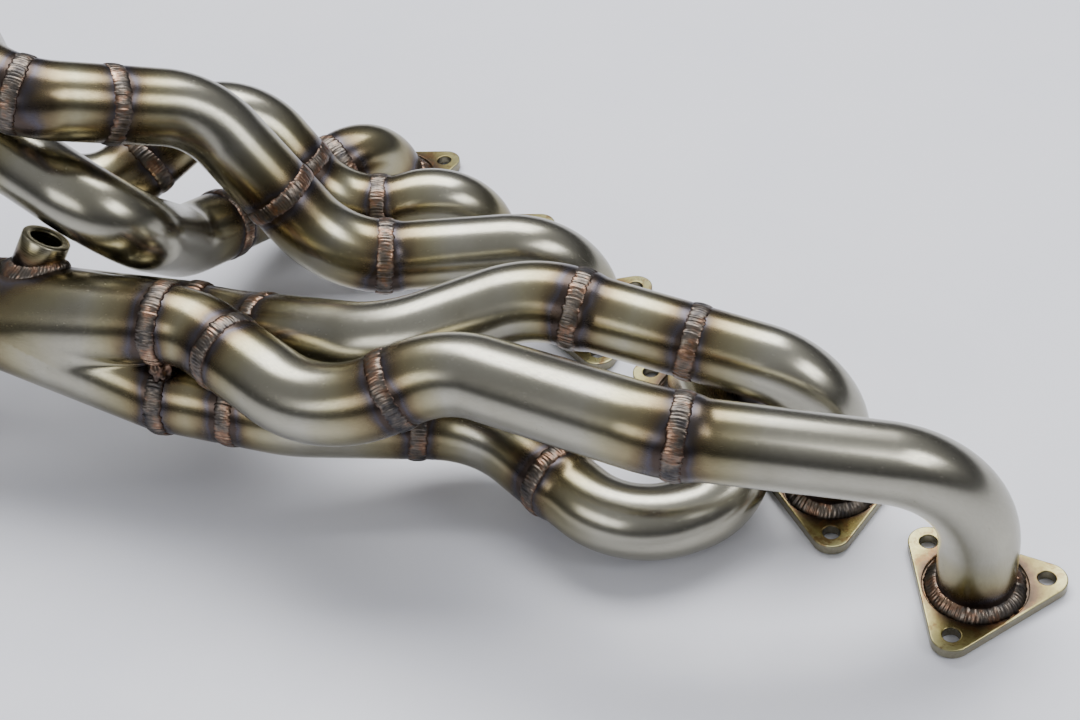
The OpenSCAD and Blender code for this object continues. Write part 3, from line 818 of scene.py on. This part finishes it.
def make_flange(number):
    """Three-stud port flange: a bevelled plate and the stepped seat of its tube."""
    outline = bpy.data.curves.new("flange_outline", "CURVE")
    outline.dimensions = "2D"
    outline.fill_mode = "BOTH"
    outline.extrude = FLANGE_THICK / 2 - PLATE_EDGE
    outline.bevel_depth = PLATE_EDGE
    outline.bevel_resolution = 3
    outline.offset = -PLATE_EDGE

    def loop(points):
        spline = outline.splines.new("POLY")
        spline.points.add(len(points) - 1)
        for target, (x, y) in zip(spline.points, points):
            target.co = (x, y, 0, 1)
        spline.use_cyclic_u = True

    def circle(cx, cy, radius, steps):
        turns = [2 * math.pi * i / steps for i in range(steps)]
        return [(cx + radius * math.cos(t), cy + radius * math.sin(t)) for t in turns]

    clock = math.radians(STUD_CLOCK[number - 1])
    rim = []
    for k in range(3):
        a = clock + 2 * math.pi * k / 3
        cx, cy = STUD_PCD / 2 * math.cos(a), STUD_PCD / 2 * math.sin(a)
        for i in range(EAR_STEPS + 1):
            b = a + math.radians(-EAR_ARC / 2 + EAR_ARC * i / EAR_STEPS)
            rim.append((cx + CORNER_R * math.cos(b), cy + CORNER_R * math.sin(b)))
        loop(circle(cx, cy, STUD_HOLE / 2, 48))
    loop(rim)
    loop(circle(0, 0, RECESS_D / 2, 96))
    holder = bpy.data.objects.new("flange_outline", outline)
    bpy.context.scene.collection.objects.link(holder)
    graph = bpy.context.evaluated_depsgraph_get()
    plate = bpy.data.meshes.new_from_object(holder.evaluated_get(graph))
    bpy.data.objects.remove(holder)
    plate.transform(Matrix.Translation((0, 0, FLANGE_THICK / 2)))
    bore, seat, lip_r = LEG_OD / 2 - WALL, FLANGE_THICK - RECESS_DEEP, LEG_OD / 2
    seat_r = RECESS_D / 2 + PLATE_EDGE
    step = lathe("seat", rounded([
        (bore, 0), (seat_r, 0), (seat_r, seat), (lip_r, seat), (lip_r, LIP), (bore, LIP)], SEAT_EDGE, 2))
    bm = bmesh.new()
    bm.from_mesh(plate)
    bm.from_mesh(step)
    whole = bpy.data.meshes.new(f"flange_{number}")
    bm.to_mesh(whole)
    bm.free()
    spots = points_of(whole)
    give(whole, "weld_gap", np.maximum(0, np.hypot(spots[:, 0], spots[:, 1]) - FLANGE_TINT_R))
    whole.transform(placed((1, 0, 0), (0, 1, 0), (0, 0, 1), ((number - 1) * PORT_PITCH, 0, 0)))
    whole.materials.clear()
    whole.materials.append(PLATE)
    whole.shade_flat()
    show(f"flange_{number}_plate", whole, "flange_steel", f"flange_{number}")


# ---------------------------------------------------------------- collectors

def collector_skin(angle, z):
    """Outer radius of the merge collector at an angle and a distance from its inlet."""
    t = z / COLLECTOR_LEN
    size = (MAIN_OD / 2 - WALL + SHEET) * (1 - t) + OUTLET_OD / 2 * t
    reach = []
    for sx, sy in inlet_spots():
        off = math.hypot(sx, sy) * (1 - t)
        turn = angle - math.atan2(sy, sx)
        reach.append(off * math.cos(turn) + math.sqrt(max(size ** 2 - (off * math.sin(turn)) ** 2, 0.0)))
    reach.sort()
    blend = BLEND_END + BLEND_MIDDLE * t * (1 - t)
    apart = max(0.0, 1 - (reach[2] - reach[1]) / blend)
    return reach[2] + blend / 4 * apart ** 2


def bung_axis(name):
    """Direction of the bung in the collector's own frame, leaning back to the inlet."""
    turn = math.radians(90 + BUNG_TURN - COLLECTORS[name]["turn"][2])
    tilt = math.radians(BUNG_TILT)
    return np.array([math.cos(tilt) * math.cos(turn), math.cos(tilt) * math.sin(turn), -math.sin(tilt)])


def collector_place(name):
    c = COLLECTORS[name]
    return placed(*collector_axes(c["turn"]), c["at"])


def make_shell(name):
    """Merge collector, open under the bung; returns the whole skin in its own frame, for rays."""
    stations = np.linspace(0, COLLECTOR_LEN, SHELL_ROWS)
    turns = np.linspace(0, 2 * math.pi, SHELL_COLUMNS, endpoint=False)
    verts = [(collector_skin(a, z) * math.cos(a), collector_skin(a, z) * math.sin(a), z)
             for z in stations for a in turns]
    faces = grid_faces(SHELL_ROWS, SHELL_COLUMNS, False)
    spots = np.array(verts)
    axis = bung_axis(name)
    from_root = spots - np.array([0, 0, BUNG_AT])
    ahead = from_root @ axis
    off_axis = np.linalg.norm(from_root - np.outer(ahead, axis), axis=1)
    off_axis = np.where(ahead > 0, off_axis, COLLECTOR_LEN)
    hole = BUNG_BORE / 2 + BUNG_HOLE_GAP
    mesh = bpy.data.meshes.new("merge_skin")
    mesh.from_pydata(verts, [], [f for f in faces if max(off_axis[list(f)]) > hole])
    from_bung = np.maximum(off_axis - BUNG_TINT_R, 0.0)
    give(mesh, "weld_gap", np.minimum.reduce([spots[:, 2], COLLECTOR_LEN - spots[:, 2], from_bung]))
    give(mesh, "run", spots[:, 2])
    around = np.arctan2(spots[:, 1], spots[:, 0])
    give_vector(mesh, "skin", np.column_stack([np.cos(around), np.sin(around), 0 * around]))
    mesh.transform(collector_place(name))
    mesh.materials.append(STEEL)
    mesh.shade_smooth()
    piece = show(f"collector_{name}_shell", mesh, "collector_steel", f"collector_{name}")
    with_wall(piece, SHEET)
    return BVHTree.FromPolygons([Vector(v) for v in verts], faces)


def bung_frame(name):
    """Frame of the bung in the collector's own: its axis is Z, and its root lies on the flow axis."""
    axis = bung_axis(name)
    side = unit(np.cross(axis, (0, 0, 1)))
    return axes_matrix(side, np.cross(axis, side), axis, (0, 0, BUNG_AT))


def make_bung(name):
    """Boss with a threaded bore, standing on the shell."""
    skin, bore = BUNG_OD / 2, BUNG_BORE / 2
    thread = []
    z = BUNG_TOP - THREAD_FROM
    while z > THREAD_END:
        thread += [(bore, z), (bore + THREAD_DEEP, z - THREAD_PITCH / 2)]
        z -= THREAD_PITCH
    outline = [(skin, BUNG_FOOT), *((skin - inwards, BUNG_TOP - down) for inwards, down in BUNG_EDGE),
               (bore + BUNG_MOUTH, BUNG_TOP), *thread, (bore, BUNG_FOOT)]
    bung = lathe("bung", outline)
    finish_turned(bung, points_of(bung)[:, 2] - BUNG_TINT_LEVEL)
    bung.transform(bung_frame(name))
    bung.transform(collector_place(name))
    show(f"bung_{name}_boss", bung, "turned_steel", f"bung_{name}")


# Weld round the bung: rays go down to the shell from RAY_FROM along the bung's axis; the bead is
# lifted a little off the skin, and less so where it reaches outwards
RAY_FROM = 90.0
SKIN_LEVEL = 33.0       # taken where a ray finds nothing
FILLET_LIFT = 1.2
FILLET_FALL = 0.12
FILLET_FALL_R = 17.0


def bung_weld(name, surface, seed):
    """Bead round the bung, laid on the shell, in the collector's own frame."""
    ring = ripple_ring(BUNG_OD / 2 + BUNG_FILLET, BUNG_FILLET_WIDE, FILLET_HIGH, FILLET_TILT, seed)
    at_bung = bung_frame(name)
    down = Vector((-bung_axis(name)).tolist())
    verts = points_of(ring)
    for i, (x, y, z) in enumerate(verts):
        hit = surface.ray_cast(at_bung @ Vector((x, y, RAY_FROM)), down)
        level = RAY_FROM - hit[3] if hit[0] is not None else SKIN_LEVEL
        fall = FILLET_FALL * max(0.0, math.hypot(x, y) - FILLET_FALL_R)
        verts[i, 2] = level + z + FILLET_LIFT - fall
    ring.vertices.foreach_set("co", verts.astype(np.float32).ravel())
    ring.transform(at_bung)
    return ring


def make_collector_welds(name, surface, seed):
    """Beads round the bung, the inlets and both ends of the outlet pipe, and the lumps of filler."""
    place = collector_place(name)
    spots = inlet_spots()
    beads = [bung_weld(name, surface, seed)]
    for i, (sx, sy) in enumerate(spots):
        bead = ripple_ring(MAIN_OD / 2 - BEAD_SINK, INLET_BEAD_WIDE, INLET_BEAD_HIGH, 0, seed + 1 + i)
        bead.transform(Matrix.Translation((sx, sy, -INLET_BEAD_BEFORE)))
        beads.append(bead)
    for i, (sx, sy) in enumerate(spots):
        tx, ty = spots[i - 1]
        beads.append(filler_lump((sx + tx) * LUMP_OUT, (sy + ty) * LUMP_OUT, seed + i))
    for bead in beads:
        bead.transform(place)
    route = OUTLETS[name]
    ends = ((OUTLET_BEAD_IN, BEAD_WIDE), (route.length - RIM_BEAD_IN, RIM_BEAD_WIDE))
    for i, (s, width) in enumerate(ends):
        point, direction = route.at(s)
        bead = ripple_ring(OUTLET_OD / 2 - BEAD_SINK, width, OUTLET_BEAD_HIGH, 0, seed + 5 + i)
        bead.transform(along(direction, point))
        beads.append(bead)
    whole = joined(f"collector_{name}_beads", beads)
    facing_out(whole)
    show(f"collector_{name}_beads", whole, "weld_bead", f"welds_collector_{name}")


def finish_spikes():
    """The spikes between the inlets stay as they are and take the turned finish."""
    for name in COLLECTORS:
        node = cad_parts[f"spike_{name}"]
        node.data.materials.clear()
        node.data.materials.append(TURNED)


# ---------------------------------------------------------------- stage

# Camera: place in millimetres, then heading, angle downwards and roll in degrees
CAMERA_AT = (-389, 519, 744)
CAMERA_HEADING = 124.8
CAMERA_DOWN = 41.8
CAMERA_ROLL = -7.2
CAMERA_LENS = 62.7
CAMERA_SENSOR = 36.0

# Stage, in metres: half the table top and its middle, the point the lights aim at, and the lights
# as name, place, size and power
TABLE_HALF = 6.0
TABLE_AT = (0.3, 0.1, -0.0005)
WORLD_POWER = 0.72
LIGHTS_AIM = (0.25, 0.1, 0.0)
SOFTBOXES = (
    ("overhead", (1.0, -0.6, 1.8), (2.2, 1.2), 66),
    ("window", (-1.4, -0.7, 1.5), (1.1, 0.7), 16),
    ("fill", (-0.2, 1.9, 1.2), (1.4, 0.7), 10),
)


def set_camera():
    h, e, r = (math.radians(v) for v in (CAMERA_HEADING, CAMERA_DOWN, CAMERA_ROLL))
    right = np.array([math.cos(h), -math.sin(h), 0.0])
    away = np.array([math.sin(h), math.cos(h), 0.0])
    sight = math.cos(e) * away - math.sin(e) * np.array([0, 0, 1.0])
    up = math.sin(e) * away + math.cos(e) * np.array([0, 0, 1.0])
    turned_right = math.cos(r) * right + math.sin(r) * up
    turned_up = -math.sin(r) * right + math.cos(r) * up
    data = bpy.data.cameras.new("camera")
    data.lens = CAMERA_LENS
    data.sensor_width = CAMERA_SENSOR
    data.clip_start = 0.02
    camera = bpy.data.objects.new("camera", data)
    bpy.context.scene.collection.objects.link(camera)
    camera.matrix_world = axes_matrix(turned_right, turned_up, -sight, [part * MM for part in CAMERA_AT])
    bpy.context.scene.camera = camera


def add_softbox(name, at, size, power):
    data = bpy.data.lights.new(name, "AREA")
    data.shape = "RECTANGLE"
    data.size, data.size_y = size
    data.energy = power
    light = bpy.data.objects.new(name, data)
    light.location = at
    light.rotation_euler = (Vector(LIGHTS_AIM) - Vector(at)).to_track_quat("-Z", "Y").to_euler()
    bpy.context.scene.collection.objects.link(light)


def set_stage():
    bm = bmesh.new()
    bmesh.ops.create_grid(bm, x_segments=2, y_segments=2, size=TABLE_HALF)
    top = bpy.data.meshes.new("table_top")
    bm.to_mesh(top)
    bm.free()
    top.materials.append(TABLE_TOP)
    floor = bpy.data.objects.new("table_top", top)
    floor.location = TABLE_AT
    bpy.context.scene.collection.objects.link(floor)

    world = bpy.data.worlds.new("studio")
    world.use_nodes = True
    tree = world.node_tree
    tree.nodes.clear()
    height = add(tree, "ShaderNodeSeparateXYZ", {0: add(tree, "ShaderNodeTexCoord", out="Generated")}, 2)
    shade = add(tree, "ShaderNodeValToRGB", {"Fac": height}, "Color", stops=(
        (0.0, "#3a3a3c"), (0.25, "#6a6a6e"), (0.6, "#b4b5b8"), (1.0, "#d6d8dc")))
    back = add(tree, "ShaderNodeBackground", {"Color": shade, "Strength": WORLD_POWER})
    add(tree, "ShaderNodeOutputWorld", {"Surface": back})
    bpy.context.scene.world = world
    for softbox in SOFTBOXES:
        add_softbox(*softbox)


# ---------------------------------------------------------------- build

SEED_STEP = 20          # each piece's welds start their noise elsewhere
COLLECTOR_SEED = 200

for primary in PRIMARIES:
    make_primary(primary)
for index, primary in enumerate(PRIMARIES):
    make_primary_welds(primary, SEED_STEP * index)
for port in range(1, 7):
    make_flange(port)
for index, collector in enumerate(COLLECTORS):
    make_outlet(collector)
    skin = make_shell(collector)
    make_bung(collector)
    make_collector_welds(collector, skin, COLLECTOR_SEED + SEED_STEP * index)
finish_spikes()
set_camera()
set_stage()
